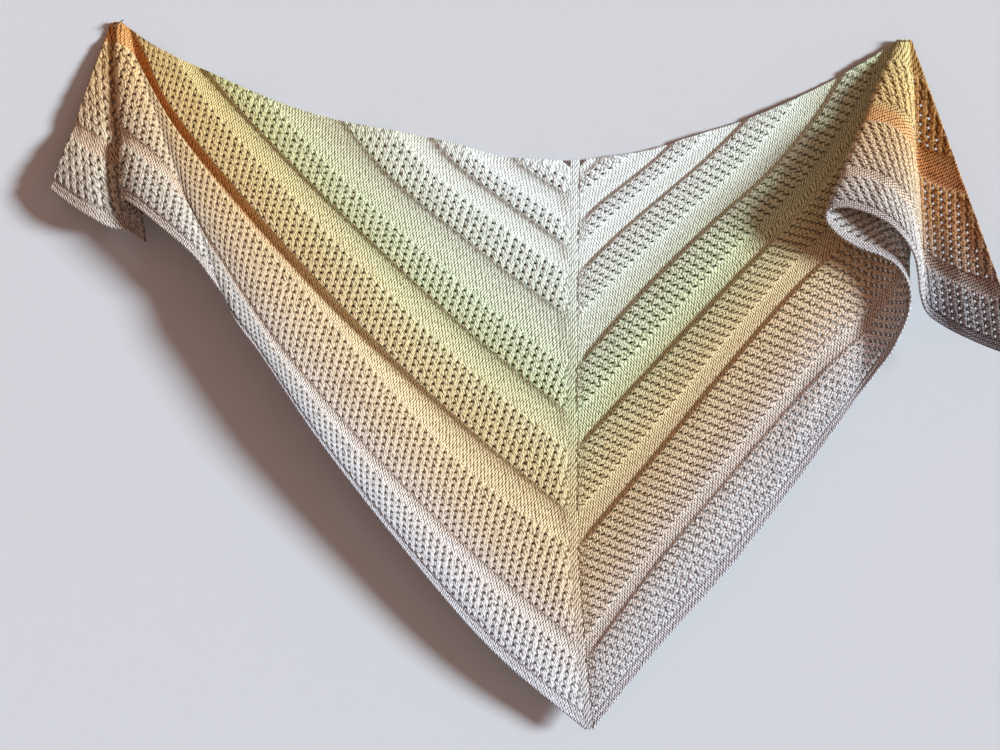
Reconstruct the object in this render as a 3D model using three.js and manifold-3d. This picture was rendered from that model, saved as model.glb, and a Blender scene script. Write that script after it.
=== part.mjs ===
// Knitted triangular prayer shawl, hung on a wall by two T-pins.
// Millimetres. X runs right along the wall, Z is up, and the wall is the plane Y = 0.
// The cloth hangs in front of the wall, so "off" below is a distance toward -Y.
// The origin is on the left pin's axis where it enters the wall.
import * as THREE from 'three';
import Module from 'manifold-3d';

const wasm = await Module();
wasm.setup();

// Sizes of the cloth
const CLOTH = 2.2;         // thickness of the knitting
const GATHERED = 1.4;      // thickness where a pin gathers it
const SEAM = 0.3;          // gap between neighbouring pieces
const SPINE_WIDTH = 12;    // centre spine panel
const HEM_RIB = 0.9;       // height of the bind-off rib over the wall's outer face
const EDGE_RIB = 0.6;      // height of the border rib along the top edge
const SPINE_RIB = 0.7;     // height of the spine stitches
const FIRST_ROW = 0.014;   // the wings start this far down the spine, as a share of it
const CALM = 60;           // the bands flatten within this distance of a pin
const SQUEEZE = 40;        // the cloth is squeezed within this distance of a pin

// Sizes of the pins
const SHAFT_RADIUS = 0.6;
const BAR_RADIUS = 0.8;
const BAR_LENGTH = 19;
const IN_WALL = 5;         // how far the point is in the wall
const PIN_SIDES = 12;

// v is how far a knitted row is from the top edge, 0 at the top edge and 1 at the hem.
// Bands of smooth stockinette lie in shallow troughs and eyelet mesh stands proud between them.
// rise is toward the viewer; leftDip deepens the left wing's trough that runs to its pin.
const BANDS = [
  { name: 'tab', from: 0, to: 0.033, rise: -0.6, leftDip: 0 },
  { name: 'mesh_1', from: 0.033, to: 0.067, rise: 0.8, leftDip: 0 },
  { name: 'plain_1', from: 0.067, to: 0.114, rise: -1.0, leftDip: 0 },
  { name: 'mesh_2', from: 0.114, to: 0.156, rise: 1.0, leftDip: 0 },
  { name: 'plain_2', from: 0.156, to: 0.202, rise: -1.4, leftDip: 0 },
  { name: 'mesh_3', from: 0.202, to: 0.277, rise: 1.4, leftDip: 0 },
  { name: 'plain_3', from: 0.277, to: 0.365, rise: -2.2, leftDip: 0 },
  { name: 'mesh_4', from: 0.365, to: 0.444, rise: 1.6, leftDip: 0 },
  { name: 'plain_4', from: 0.444, to: 0.509, rise: -2.2, leftDip: 0 },
  { name: 'mesh_5', from: 0.509, to: 0.619, rise: 1.8, leftDip: 0 },
  { name: 'plain_5', from: 0.619, to: 0.681, rise: -2.2, leftDip: -6 },
  { name: 'mesh_6', from: 0.681, to: 0.844, rise: 1.8, leftDip: 0 },
  { name: 'welt', from: 0.844, to: 0.877, rise: -1.0, leftDip: 0 },
  { name: 'mesh_7', from: 0.877, to: 0.975, rise: 1.2, leftDip: 0 },
  { name: 'bind_off', from: 0.975, to: 1, rise: 0, leftDip: 0 },
];

// The centre line of the spine panel
const SPINE = [
  { v: 0, x: 638, z: -189, off: 6 },
  { v: 0.2, x: 636, z: -349, off: 12 },
  { v: 0.456, x: 634, z: -553, off: 20 },
  { v: 0.7, x: 637, z: -746, off: 28 },
  { v: 0.86, x: 646, z: -872, off: 34 },
  { v: 1, x: 657, z: -981, off: 40 },
];

// Each wing: where its rows end on the top edge, how they sag under the straight line from
// the spine (sag) and how far they stand off the wall (off) at 25, 50, 75 and 92 % of the
// way out, and the hem of the tail beyond the pin, which folds back and forth below it.
// pinX and pinOff say where each fold is gathered on the pin. part names the piece that
// ends there.
const LEFT = {
  sign: -1,
  pin: { x: 0, z: 0, v: 0.65, clothTop: 3, barOff: 14.6, barTurn: 34 },
  spread: 0.87,
  topEdge: [
    { v: 0, x: 638, z: -190, off: 6 },
    { v: 0.06, x: 561, z: -187, off: 6 },
    { v: 0.156, x: 437, z: -158, off: 6 },
    { v: 0.277, x: 309, z: -134, off: 6 },
    { v: 0.365, x: 209, z: -103, off: 6 },
    { v: 0.444, x: 120, z: -63, off: 7 },
    { v: 0.55, x: 57, z: -34, off: 8 },
    { v: 0.65, x: 4, z: 3, off: 10.5 },
  ],
  rows: [
    { v: 0, sag25: 0, sag50: 0, sag75: 0, sag92: 0, off25: 6, off50: 6, off75: 6, off92: 6 },
    { v: 0.156, sag25: 4, sag50: 8, sag75: 11, sag92: 7, off25: 10, off50: 9, off75: 8, off92: 7 },
    { v: 0.277, sag25: 11, sag50: 17, sag75: 21, sag92: 8, off25: 14, off50: 14, off75: 11, off92: 8 },
    { v: 0.444, sag25: 17, sag50: 21, sag75: 18, sag92: 9, off25: 21, off50: 24, off75: 19, off92: 11 },
    { v: 0.55, sag25: 30, sag50: 42, sag75: 42, sag92: 26, off25: 25, off50: 31, off75: 26, off92: 14 },
    { v: 0.65, sag25: 46, sag50: 66, sag75: 66, sag92: 50, off25: 30, off50: 38, off75: 34, off92: 21 },
    { v: 0.681, sag25: 54, sag50: 60, sag75: 52, sag92: 32, off25: 32, off50: 42, off75: 40, off92: 27 },
    { v: 0.86, sag25: 41, sag50: 62, sag75: 58, sag92: 26, off25: 43, off50: 56, off75: 64, off92: 58 },
    { v: 1, sag25: 43, sag50: 48, sag75: 36, sag92: 11, off25: 50, off50: 62, off75: 74, off92: 74 },
  ],
  folds: [
    { x: 155, z: -394, off: 68, pinX: 4, pinOff: 10.5, part: 'wing_left' },
    { x: 130, z: -356, off: 74, pinX: 3, pinOff: 10.5 },
    { x: 104, z: -321, off: 76, pinX: 1, pinOff: 10.6 },
    { x: 59, z: -281, off: 70, pinX: -2.5, pinOff: 10.6 },
    { x: 32, z: -258, off: 62, pinX: -5, pinOff: 10.2 },
    { x: 17, z: -248, off: 52, pinX: -6.6, pinOff: 8.8, part: 'fold_left_front' },
    { x: 22, z: -256, off: 44, pinX: -5, pinOff: 7.3 },
    { x: 37, z: -282, off: 41, pinX: 0, pinOff: 7 },
    { x: 47, z: -305, off: 36, pinX: 5.6, pinOff: 5.5, part: 'fold_left_return' },
    { x: 36, z: -303, off: 30, pinX: 4, pinOff: 3.9 },
    { x: 14, z: -291, off: 33, pinX: 1, pinOff: 3.6 },
    { x: -10, z: -286, off: 42, pinX: -2, pinOff: 3.6 },
    { x: -33, z: -273, off: 46, pinX: -5, pinOff: 3.8 },
    { x: -60, z: -256, off: 40, pinX: -8, pinOff: 4 },
    { x: -90, z: -233, off: 30, pinX: -11, pinOff: 4.2, part: 'tail_left' },
  ],
};

const RIGHT = {
  sign: 1,
  pin: { x: 1095, z: -24, v: 0.475, clothTop: 2.5, barOff: 16, barTurn: -2 },
  spread: 0.75,
  topEdge: [
    { v: 0, x: 638, z: -190, off: 6 },
    { v: 0.07, x: 724, z: -179, off: 6 },
    { v: 0.156, x: 829, z: -148, off: 6 },
    { v: 0.202, x: 881, z: -132, off: 6 },
    { v: 0.277, x: 953, z: -100, off: 6 },
    { v: 0.365, x: 1016, z: -68, off: 6 },
    { v: 0.42, x: 1055, z: -44, off: 5 },
    { v: 0.475, x: 1092, z: -21.5, off: 3.8 },
  ],
  rows: [
    { v: 0, sag25: 0, sag50: 0, sag75: 0, sag92: 0, off25: 6, off50: 6, off75: 6, off92: 6 },
    { v: 0.202, sag25: -3, sag50: 0, sag75: 4, sag92: 2, off25: 11, off50: 10, off75: 8, off92: 7 },
    { v: 0.277, sag25: 0, sag50: 7, sag75: 14, sag92: 7, off25: 14, off50: 13, off75: 10, off92: 7 },
    { v: 0.365, sag25: -3, sag50: 8, sag75: 26, sag92: 15, off25: 17, off50: 18, off75: 13, off92: 8 },
    { v: 0.475, sag25: 22, sag50: 37, sag75: 52, sag92: 30, off25: 23, off50: 25, off75: 20, off92: 12 },
    { v: 0.509, sag25: 8, sag50: 18, sag75: 30, sag92: 14, off25: 25, off50: 28, off75: 24, off92: 15 },
    { v: 0.681, sag25: -8, sag50: -20, sag75: -24, sag92: -10, off25: 33, off50: 36, off75: 36, off92: 31 },
    { v: 0.86, sag25: -19, sag50: -21, sag75: -20, sag92: -9, off25: 40, off50: 43, off75: 44, off92: 44 },
    { v: 1, sag25: 0, sag50: 13, sag75: 11, sag92: 4, off25: 43, off50: 46, off75: 48, off92: 52 },
  ],
  folds: [
    { x: 1029, z: -519, off: 52, pinX: -3, pinOff: 3.8, part: 'wing_right' },
    { x: 1051, z: -489, off: 58, pinX: -1, pinOff: 3.8 },
    { x: 1069, z: -464, off: 66, pinX: 1, pinOff: 3.8 },
    { x: 1084, z: -435, off: 74, pinX: 3, pinOff: 4 },
    { x: 1095, z: -405, off: 79, pinX: 4.6, pinOff: 4.6 },
    { x: 1096, z: -384, off: 82, pinX: 5.2, pinOff: 5.6, part: 'fold_right_turn' },
    { x: 1090, z: -361, off: 84, pinX: 4.4, pinOff: 6.8 },
    { x: 1076, z: -340, off: 85, pinX: 2.6, pinOff: 7.3 },
    { x: 1054, z: -327, off: 86, pinX: 0, pinOff: 7.4 },
    { x: 1025, z: -316, off: 86, pinX: -2.6, pinOff: 7.5 },
    { x: 996, z: -298, off: 87, pinX: -5.5, pinOff: 8 },
    { x: 979, z: -276, off: 90, pinX: -7.2, pinOff: 9.2, part: 'fold_right_return' },
    { x: 985, z: -264, off: 94, pinX: -6, pinOff: 10.5 },
    { x: 1005, z: -261, off: 98, pinX: -4, pinOff: 11 },
    { x: 1035, z: -269, off: 103, pinX: -1.5, pinOff: 11.2 },
    { x: 1065, z: -285, off: 108, pinX: 1, pinOff: 11.2 },
    { x: 1087, z: -308, off: 107, pinX: 4, pinOff: 11.2 },
    { x: 1101, z: -330, off: 98, pinX: 6.6, pinOff: 11 },
    { x: 1107, z: -353, off: 88, pinX: 8.4, pinOff: 10.6 },
    { x: 1113, z: -383, off: 73, pinX: 9.2, pinOff: 10.2 },
    { x: 1123, z: -406, off: 64, pinX: 10, pinOff: 9.8, part: 'fold_right_front' },
    { x: 1143, z: -422, off: 67, pinX: 10.8, pinOff: 9.6 },
    { x: 1171, z: -438, off: 79, pinX: 11.5, pinOff: 9.6 },
    { x: 1213, z: -457, off: 97, pinX: 12.2, pinOff: 9.6 },
    { x: 1251, z: -469, off: 116, pinX: 13, pinOff: 9.6, part: 'tail_right' },
  ],
};

// Shares of the way out at which the rows tables give sag and off
const STATIONS = [
  { out: 0.25, sag: 'sag25', off: 'off25' },
  { out: 0.5, sag: 'sag50', off: 'off50' },
  { out: 0.75, sag: 'sag75', off: 'off75' },
  { out: 0.92, sag: 'sag92', off: 'off92' },
];
const EDGE = STATIONS.length + 1;   // place of the top edge, or of the first fold, along a row

// A smooth value from one column of a table, read at v
function read(table, column, v) {
  let i = 0;
  while (i < table.length - 2 && v > table[i + 1].v) i += 1;
  const slope = (a, b) => (table[b][column] - table[a][column]) / (table[b].v - table[a].v);
  const here = slope(i, i + 1);
  const before = i > 0 ? slope(i - 1, i) : here;
  const after = i < table.length - 2 ? slope(i + 1, i + 2) : here;
  const h = table[i + 1].v - table[i].v;
  const t = Math.min(Math.max((v - table[i].v) / h, 0), 1);
  const m0 = gentle(before, here) * h;
  const m1 = gentle(here, after) * h;
  const a = table[i][column];
  const b = table[i + 1][column];
  return hermite(a, m0, b, m1, t);
}

// The slope through a table row, flat where its neighbours turn
function gentle(a, b) {
  return a * b <= 0 ? 0 : (2 * a * b) / (a + b);
}

function hermite(a, m0, b, m1, t) {
  const t2 = t * t;
  const t3 = t2 * t;
  return a * (2 * t3 - 3 * t2 + 1) + m0 * (t3 - 2 * t2 + t) + b * (3 * t2 - 2 * t3) + m1 * (t3 - t2);
}

function smoothstep(x) {
  const t = Math.min(Math.max(x, 0), 1);
  return t * t * (3 - 2 * t);
}

// Where a row starts, at the side of the spine panel
function spineEdge(side, v) {
  return new THREE.Vector3(
    read(SPINE, 'x', v) + side.sign * SPINE_WIDTH / 2,
    -read(SPINE, 'off', v),
    read(SPINE, 'z', v),
  );
}

// A point of one fold line of the tail: on the pin at the pin's row, at the hem for v = 1
function foldPoint(side, i, v) {
  const fold = side.folds[i];
  const reach = ((v - side.pin.v) / (1 - side.pin.v)) ** side.spread;
  const onPin = new THREE.Vector3(side.pin.x + fold.pinX, -fold.pinOff, side.pin.z + side.pin.clothTop);
  return onPin.lerp(new THREE.Vector3(fold.x, -fold.off, fold.z), reach);
}

// The place that a row passes at guide line i: 0 is the spine, then the stations, then the
// top edge or the fold lines
function guidePoint(side, i, v) {
  if (i === 0) return spineEdge(side, v);
  const past = v > side.pin.v;
  if (i > EDGE && past) return foldPoint(side, i - EDGE, v);
  const edge = past ? foldPoint(side, 0, v) : new THREE.Vector3(
    read(side.topEdge, 'x', v),
    -read(side.topEdge, 'off', v),
    read(side.topEdge, 'z', v),
  );
  if (i === EDGE) return edge;
  const start = spineEdge(side, v);
  if (i > EDGE) return edge.clone().lerp(start, -0.1);
  const station = STATIONS[i - 1];
  const p = start.lerp(edge, station.out);
  p.z -= read(side.rows, station.sag, v);
  p.y = -read(side.rows, station.off, v);
  return p;
}

// A point along a row, a smooth curve through its guide lines, without the bands' relief
function rowPoint(side, s, v) {
  const last = v > side.pin.v ? EDGE + side.folds.length - 1 : EDGE;
  const i = Math.min(Math.floor(s), last - 1);
  const t = s - i;
  const p1 = guidePoint(side, i, v);
  const p2 = guidePoint(side, i + 1, v);
  const p0 = i > 0 ? guidePoint(side, i - 1, v) : p1.clone().lerp(p2, -0.5);
  const p3 = i + 2 <= Math.max(last, EDGE + 1) ? guidePoint(side, i + 2, v) : p2.clone().lerp(p1, -0.5);
  const h0 = Math.sqrt(p0.distanceTo(p1)) + 1e-6;
  const h1 = Math.sqrt(p1.distanceTo(p2)) + 1e-6;
  const h2 = Math.sqrt(p2.distanceTo(p3)) + 1e-6;
  const out = new THREE.Vector3();
  for (const axis of ['x', 'y', 'z']) {
    const step = p2[axis] - p1[axis];
    const m1 = h1 * ((p1[axis] - p0[axis]) / h0 - (p2[axis] - p0[axis]) / (h0 + h1)) + step;
    const m2 = step + h1 * ((p3[axis] - p2[axis]) / h2 - (p3[axis] - p1[axis]) / (h1 + h2));
    out[axis] = hermite(p1[axis], m1, p2[axis], m2, t);
  }
  return out;
}

// How far the bands stand out at v, and how much deeper the left wing's long trough is
function bandRise(side, s, v) {
  const band = BANDS.find((b) => v <= b.to) ?? BANDS[BANDS.length - 1];
  const bulge = Math.sin(Math.PI * (v - band.from) / (band.to - band.from));
  const dip = side.sign < 0 ? band.leftDip * smoothstep(s / 3) : 0;
  return bulge * (band.rise + dip);
}

function clothPoint(side, s, v) {
  const p = rowPoint(side, s, v);
  p.y -= bandRise(side, s, v) * smoothstep(distanceToPin(side, p) / CALM);
  return p;
}

function distanceToPin(side, p) {
  return Math.hypot(p.x - side.pin.x, p.z - side.pin.z);
}

// The direction out of the cloth's right side, toward the viewer where it lies flat, and the
// direction along the cloth away from the guide line through s.
// Above the pin's row the cloth ends at the top edge, and below it at the tail's tip.
function clothFrame(side, s, v) {
  const ds = 0.02;
  const dv = 0.002;
  const past = v > side.pin.v;
  const last = past ? EDGE + side.folds.length - 1 : EDGE;
  const s0 = Math.max(s - ds, 0);
  const s1 = Math.min(s + ds, last);
  const v0 = past ? Math.max(v - dv, side.pin.v + 1e-4) : v - dv;
  const v1 = past ? Math.min(v + dv, 1) : Math.min(v + dv, side.pin.v);
  const alongRow = clothPoint(side, s1, v).sub(clothPoint(side, s0, v));
  const down = clothPoint(side, s, v1).sub(clothPoint(side, s, v0));
  const normal = alongRow.cross(down).multiplyScalar(-side.sign).normalize();
  const across = down.cross(normal).multiplyScalar(-side.sign).normalize();
  return { normal, across };
}

// The rows at which the panels are cut into facets: both ends and inner points of each band
function rowStops(from) {
  const stops = [from];
  for (const band of BANDS) {
    const width = band.to - band.from;
    const parts = width > 0.12 ? 6 : width > 0.04 ? 3 : 2;
    for (let i = 1; i <= parts; i += 1) stops.push(band.from + width * i / parts);
  }
  return stops.filter((v, i) => i === 0 || v > from + 0.008);
}

// A closed wall from a grid of outer and inner points
function wall(grid) {
  const rows = grid.length;
  const cols = grid[0].length;
  const points = ['outer', 'inner'].flatMap((face) => grid.flat().map((g) => g[face]));
  const at = (layer, r, c) => layer * rows * cols + r * cols + c;
  const triangles = [];
  const quad = (a, b, c, d) => {
    const even = points[a].distanceTo(points[c]) <= points[b].distanceTo(points[d]);
    triangles.push(...(even ? [a, b, c, a, c, d] : [a, b, d, b, c, d]));
  };
  for (let r = 0; r < rows - 1; r += 1) {
    for (let c = 0; c < cols - 1; c += 1) {
      quad(at(0, r, c), at(0, r + 1, c), at(0, r + 1, c + 1), at(0, r, c + 1));
      quad(at(1, r, c), at(1, r, c + 1), at(1, r + 1, c + 1), at(1, r + 1, c));
    }
  }
  for (let c = 0; c < cols - 1; c += 1) {
    quad(at(0, 0, c), at(0, 0, c + 1), at(1, 0, c + 1), at(1, 0, c));
    quad(at(0, rows - 1, c), at(1, rows - 1, c), at(1, rows - 1, c + 1), at(0, rows - 1, c + 1));
  }
  for (let r = 0; r < rows - 1; r += 1) {
    quad(at(0, r, 0), at(1, r, 0), at(1, r + 1, 0), at(0, r + 1, 0));
    quad(at(0, r, cols - 1), at(0, r + 1, cols - 1), at(1, r + 1, cols - 1), at(1, r, cols - 1));
  }
  return { points, triangles };
}

function toManifold({ points, triangles }) {
  const vertProperties = new Float32Array(points.flatMap((p) => [p.x, p.y, p.z]));
  const mesh = new wasm.Mesh({ numProp: 3, vertProperties, triVerts: new Uint32Array(triangles) });
  mesh.merge();
  return new wasm.Manifold(mesh);
}

function toThree(solid, name, material) {
  const mesh = solid.getMesh();
  const positions = new Float32Array((mesh.vertProperties.length / mesh.numProp) * 3);
  for (let i = 0; i < positions.length / 3; i += 1) {
    for (let k = 0; k < 3; k += 1) positions[3 * i + k] = mesh.vertProperties[mesh.numProp * i + k];
  }
  const geometry = new THREE.BufferGeometry();
  geometry.setAttribute('position', new THREE.BufferAttribute(positions, 3));
  geometry.setIndex(new THREE.BufferAttribute(new Uint32Array(mesh.triVerts), 1));
  geometry.computeVertexNormals();
  const out = new THREE.Mesh(geometry, material);
  out.name = name;
  return out;
}

function yarn(color) {
  return new THREE.MeshStandardMaterial({ color, roughness: 0.95, metalness: 0 });
}

// The clearance hole that a pin's shaft makes through the cloth gathered on it
function pinHole(pin) {
  const length = pin.barOff + IN_WALL;
  return wasm.Manifold.cylinder(length, SHAFT_RADIUS + SEAM, SHAFT_RADIUS + SEAM, PIN_SIDES)
    .rotate([90, 0, 0])
    .translate([pin.x, IN_WALL, pin.z]);
}

// How far the knitting's outer points stand above its plain wall
function rib(v, onTopEdge) {
  if (v > 0.98 && v < 0.999) return HEM_RIB;
  return onTopEdge ? EDGE_RIB : 0;
}

// The two faces of the wall at a point of the cloth, the outer one raised by the ribs
function faces(point, normal, thickness, raised) {
  return {
    outer: point.clone().addScaledVector(normal, thickness / 2 + raised),
    inner: point.clone().addScaledVector(normal, -thickness / 2),
  };
}

// The rows of a wing, and of its tail, which share those below the pin
function wingRows(side, tailOnly) {
  const below = rowStops(side.pin.v + 1e-4);
  if (tailOnly) return below;
  return [...rowStops(FIRST_ROW).filter((v) => v < side.pin.v - 0.004), ...below];
}

// One stretch of a wing or its tail, between two guide lines
function stretch(side, name, from, to, perSpan, material) {
  const tip = EDGE + side.folds.length - 1;
  const count = Math.round((to - from) * perSpan);
  const grid = wingRows(side, from >= EDGE).map((v) => {
    const row = [];
    for (let c = 0; c <= count; c += 1) {
      const s = from + (to - from) * c / count;
      const { normal, across } = clothFrame(side, s, v);
      if (s === 0) normal.setX(0).normalize();
      const onTopEdge = c === count && (to === tip || v < side.pin.v);
      const point = clothPoint(side, s, v);
      const squeezed = smoothstep(distanceToPin(side, point) / SQUEEZE);
      if (c === 0) point.addScaledVector(across, SEAM / 2);
      if (c === count && !onTopEdge) point.addScaledVector(across, -SEAM / 2);
      row.push(faces(point, normal, GATHERED + (CLOTH - GATHERED) * squeezed, rib(v, onTopEdge)));
    }
    return row;
  });
  const solid = toManifold(wall(side.sign < 0 ? grid.map((row) => row.reverse()) : grid));
  return toThree(from >= EDGE ? solid.subtract(pinHole(side.pin)) : solid, name, material);
}

function spinePanel() {
  const toViewer = new THREE.Vector3(0, -1, 0);
  const grid = rowStops(0).map((v) => [-1, -0.45, 0, 0.45, 1].map((share) => {
    const x = read(SPINE, 'x', v) + share * (SPINE_WIDTH - SEAM) / 2;
    const y = -read(SPINE, 'off', v) - bandRise(RIGHT, 0, v);
    const point = new THREE.Vector3(x, y, read(SPINE, 'z', v));
    return faces(point, toViewer, CLOTH, Math.abs(share) < 0.5 ? SPINE_RIB : 0);
  }));
  return toThree(toManifold(wall(grid)), 'spine_panel', yarn(0xdfe8d4));
}

// A T-pin: a straight shaft with a cross bar soldered on its outer end
function tPin(name, pin) {
  const shaft = wasm.Manifold.cylinder(pin.barOff + IN_WALL - 1.5, SHAFT_RADIUS, SHAFT_RADIUS, PIN_SIDES)
    .rotate([90, 0, 0])
    .translate([0, IN_WALL - 1.5, 0]);
  const point = wasm.Manifold.cylinder(1.5, 0.1, SHAFT_RADIUS, PIN_SIDES)
    .rotate([90, 0, 0])
    .translate([0, IN_WALL, 0]);
  const bar = wasm.Manifold.cylinder(BAR_LENGTH, BAR_RADIUS, BAR_RADIUS, PIN_SIDES, true)
    .rotate([0, 90, 0])
    .rotate([0, -pin.barTurn, 0])
    .translate([0, -pin.barOff, 0]);
  const steel = new THREE.MeshStandardMaterial({ color: 0x8c8a84, roughness: 0.35, metalness: 1 });
  return toThree(shaft.add(point).add(bar).translate([pin.x, 0, pin.z]), name, steel);
}

const COLOURS = {
  wing_left: 0xe3dcae,
  fold_left_front: 0xe6d3b4,
  fold_left_return: 0xd9c7b4,
  tail_left: 0xdccab8,
  wing_right: 0xdce0b4,
  fold_right_turn: 0xd8bf9c,
  fold_right_return: 0xcdbcae,
  fold_right_front: 0xe2cfae,
  tail_right: 0xd8bd98,
};

const group = new THREE.Group();
group.add(spinePanel());
for (const side of [LEFT, RIGHT]) {
  let from = 0;
  side.folds.forEach((fold, i) => {
    if (!fold.part) return;
    const to = EDGE + i;
    group.add(stretch(side, fold.part, from, to, from < EDGE ? 2.8 : 1.5, yarn(COLOURS[fold.part])));
    from = to;
  });
}
group.add(tPin('pin_left', LEFT.pin));
group.add(tPin('pin_right', RIGHT.pin));

export default group;
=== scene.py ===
# Looks of a knitted triangular prayer shawl that hangs on a wall by two T-pins.
# Tables and sizes are in millimetres, as in the part's source, and meshes are made in metres.
# X runs right along the wall, Z is up, and the wall is the plane Y = 0. The cloth hangs at -Y,
# and "off" is its distance from the wall. The origin is on the left pin's axis at the wall.
import math

import bpy
import numpy as np
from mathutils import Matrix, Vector


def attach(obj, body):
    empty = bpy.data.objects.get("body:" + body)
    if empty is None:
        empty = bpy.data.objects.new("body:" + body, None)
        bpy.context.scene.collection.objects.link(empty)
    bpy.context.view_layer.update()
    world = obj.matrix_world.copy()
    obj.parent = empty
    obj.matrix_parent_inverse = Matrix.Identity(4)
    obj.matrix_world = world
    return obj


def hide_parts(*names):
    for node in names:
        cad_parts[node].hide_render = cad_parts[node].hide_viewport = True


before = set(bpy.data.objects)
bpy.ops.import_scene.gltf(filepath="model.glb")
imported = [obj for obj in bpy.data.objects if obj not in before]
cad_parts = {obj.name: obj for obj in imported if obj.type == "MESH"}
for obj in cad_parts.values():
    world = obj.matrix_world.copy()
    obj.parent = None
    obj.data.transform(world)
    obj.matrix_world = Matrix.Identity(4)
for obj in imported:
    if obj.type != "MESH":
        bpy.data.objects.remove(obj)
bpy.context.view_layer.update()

MM = 0.001

# Sizes of the cloth, shared with the part's source
SPINE_WIDTH = 12
CALM = 60              # the bands flatten within this distance of a pin
SQUEEZE = 40           # the cloth is squeezed within this distance of a pin
FIRST_ROW = 0.014      # the wings start this far down the spine, as a share of it

# The flat cut: half of a triangle 1880 wide and 800 deep, knitted from the top centre outward
HALF_SPAN = 940
SPINE_LENGTH = 800
HEM_ROW = math.hypot(HALF_SPAN, SPINE_LENGTH)              # length of a wing's last row
CUT_DEPTH = HALF_SPAN * SPINE_LENGTH / HEM_ROW             # from the first row to the last
FOOT = SPINE_LENGTH ** 2 / HEM_ROW ** 2                    # where the first stitch's wale ends

# The knitting
PITCH_ALONG = 12.9     # eyelet to eyelet along a row
PITCH_DOWN = 9.8       # eyelet row to eyelet row
LEAN = 3.9             # each eyelet row lies this much further toward +X than the one above
CELL_COLUMNS = 6       # lines of points across one eyelet's cell
CELL_ROWS = 5
COLUMN = PITCH_ALONG / CELL_COLUMNS
PLAIN_ROWS = 2         # lines of points in a group of smooth rows
PLAIN_GROUP = 6.2      # depth of that group
HALF_THICK = 0.75      # from the middle of the cloth to the bottom of its grooves
MESH_LIFT = 1.4        # the mesh stands this much prouder of the smooth bands, on its solid's form
BAND_STEP = 3          # the mesh rises to its full height within this distance of its edge

# v is how far a knitted row is from the top edge, 0 at the top edge and 1 at the hem
BANDS = [
    # name, from, to, kind, rise toward the viewer, deeper on the left wing
    ("tab", 0, 0.033, "plain", -0.6, 0),
    ("mesh_1", 0.033, 0.067, "mesh", 0.8, 0),
    ("plain_1", 0.067, 0.114, "plain", -1.0, 0),
    ("mesh_2", 0.114, 0.156, "mesh", 1.0, 0),
    ("plain_2", 0.156, 0.202, "plain", -1.4, 0),
    ("mesh_3", 0.202, 0.277, "mesh", 1.4, 0),
    ("plain_3", 0.277, 0.365, "plain", -2.2, 0),
    ("mesh_4", 0.365, 0.444, "mesh", 1.6, 0),
    ("plain_4", 0.444, 0.509, "plain", -2.2, 0),
    ("mesh_5", 0.509, 0.619, "mesh", 1.8, 0),
    ("plain_5", 0.619, 0.681, "plain", -2.2, -6),
    ("mesh_6", 0.681, 0.844, "mesh", 1.8, 0),
    ("welt", 0.844, 0.877, "garter", -1.0, 0),
    ("mesh_7", 0.877, 0.975, "mesh", 1.2, 0),
    ("bind_off", 0.975, 1, "edge", 0, 0),
]
KINDS = {"mesh": 0.0, "plain": 1.0, "garter": 2.0, "edge": 3.0}

# The centre line of the spine panel: v, x, z, off
SPINE = np.array([
    (0, 638, -189, 6),
    (0.2, 636, -349, 12),
    (0.456, 634, -553, 20),
    (0.7, 637, -746, 28),
    (0.86, 646, -872, 34),
    (1, 657, -981, 40),
])

# Each wing: its pin, where its rows end on the top edge (v, x, z, off), how they sag under the
# straight line from the spine and stand off the wall at 25, 50, 75 and 92 % of the way out
# (v, four sags, four offs), and the fold lines of its tail at the hem and on the pin
# (x, z, off, pin x, pin off). parts says which fold line each piece runs to.
LEFT = {
    "sign": -1,
    "pin": (0, 0),
    "pin_row": 0.65,
    "cloth_top": 3,
    "spread": 0.87,
    "top_edge": np.array([
        (0, 638, -190, 6),
        (0.06, 561, -187, 6),
        (0.156, 437, -158, 6),
        (0.277, 309, -134, 6),
        (0.365, 209, -103, 6),
        (0.444, 120, -63, 7),
        (0.55, 57, -34, 8),
        (0.65, 4, 3, 10.5),
    ]),
    "rows": np.array([
        (0, 0, 0, 0, 0, 6, 6, 6, 6),
        (0.156, 4, 8, 11, 7, 10, 9, 8, 7),
        (0.277, 11, 17, 21, 8, 14, 14, 11, 8),
        (0.444, 17, 21, 18, 9, 21, 24, 19, 11),
        (0.55, 30, 42, 42, 26, 25, 31, 26, 14),
        (0.65, 46, 66, 66, 50, 30, 38, 34, 21),
        (0.681, 54, 60, 52, 32, 32, 42, 40, 27),
        (0.86, 41, 62, 58, 26, 43, 56, 64, 58),
        (1, 43, 48, 36, 11, 50, 62, 74, 74),
    ]),
    "folds": np.array([
        (155, -394, 68, 4, 10.5),
        (130, -356, 74, 3, 10.5),
        (104, -321, 76, 1, 10.6),
        (59, -281, 70, -2.5, 10.6),
        (32, -258, 62, -5, 10.2),
        (17, -248, 52, -6.6, 8.8),
        (22, -256, 44, -5, 7.3),
        (37, -282, 41, 0, 7),
        (47, -305, 36, 5.6, 5.5),
        (36, -303, 30, 4, 3.9),
        (14, -291, 33, 1, 3.6),
        (-10, -286, 42, -2, 3.6),
        (-33, -273, 46, -5, 3.8),
        (-60, -256, 40, -8, 4),
        (-90, -233, 30, -11, 4.2),
    ]),
    "parts": [("wing_left", 0), ("fold_left_front", 5), ("fold_left_return", 8), ("tail_left", 14)],
    "wing_cuts": [0.619],
    "band_sink": 2.2,    # how much more hollow than its solid the middle of a smooth band is
    "sink_skew": 0.55,   # under 1 it is deepest nearer the top edge, over 1 nearer the hem
    "flare": 6,          # how much further the hem stands out than its solid's
    "pin_shade_reach": 640,   # painted shade: the cloth takes a warm, deeper tint within this distance of the pin
    "painted_light_shift": 0,           # painted light: how much later the colour changes down the rows here, as a share of the depth, which paints this wing's shaded bands paler, as if lit
}

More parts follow.
